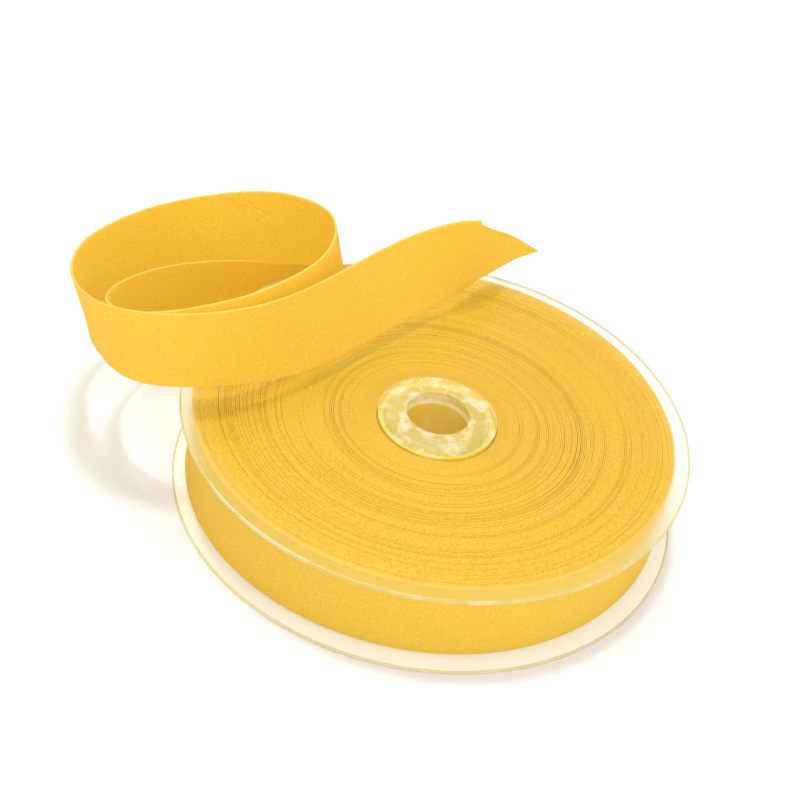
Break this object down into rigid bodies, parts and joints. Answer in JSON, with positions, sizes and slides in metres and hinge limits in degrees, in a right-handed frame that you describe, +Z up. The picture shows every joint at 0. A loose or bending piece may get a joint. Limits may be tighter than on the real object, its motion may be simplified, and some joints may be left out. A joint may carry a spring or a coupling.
{
  "type": "roll of bias binding",
  "caption": "Roll of folded fabric bias binding wound on a clear flanged plastic reel, with a loose looped end cut on a slant.",
  "frame": {"origin": "middle of the base of the whole object's box, on the surface that the reel lies on", "axes": "+Z up along the reel's axis; +X away from the loose loops, along the object's length; +Y towards the back, where the slanting cut end points"},
  "size_m": [0.185, 0.1618, 0.0581],
  "materials": {
    "reel_plastic": "clear glossy plastic",
    "wound_binding": "matt plain-woven cotton, close turns",
    "loose_binding": "matt plain-woven cotton, pressed folds"
  },
  "bodies": {
    "root": {"flange_bottom": "reel_plastic", "core_tube": "reel_plastic", "bore_tube": "reel_plastic", "flange_top": "reel_plastic", "winding": "wound_binding", "loose_end": "loose_binding"}
  },
  "joints": []
}
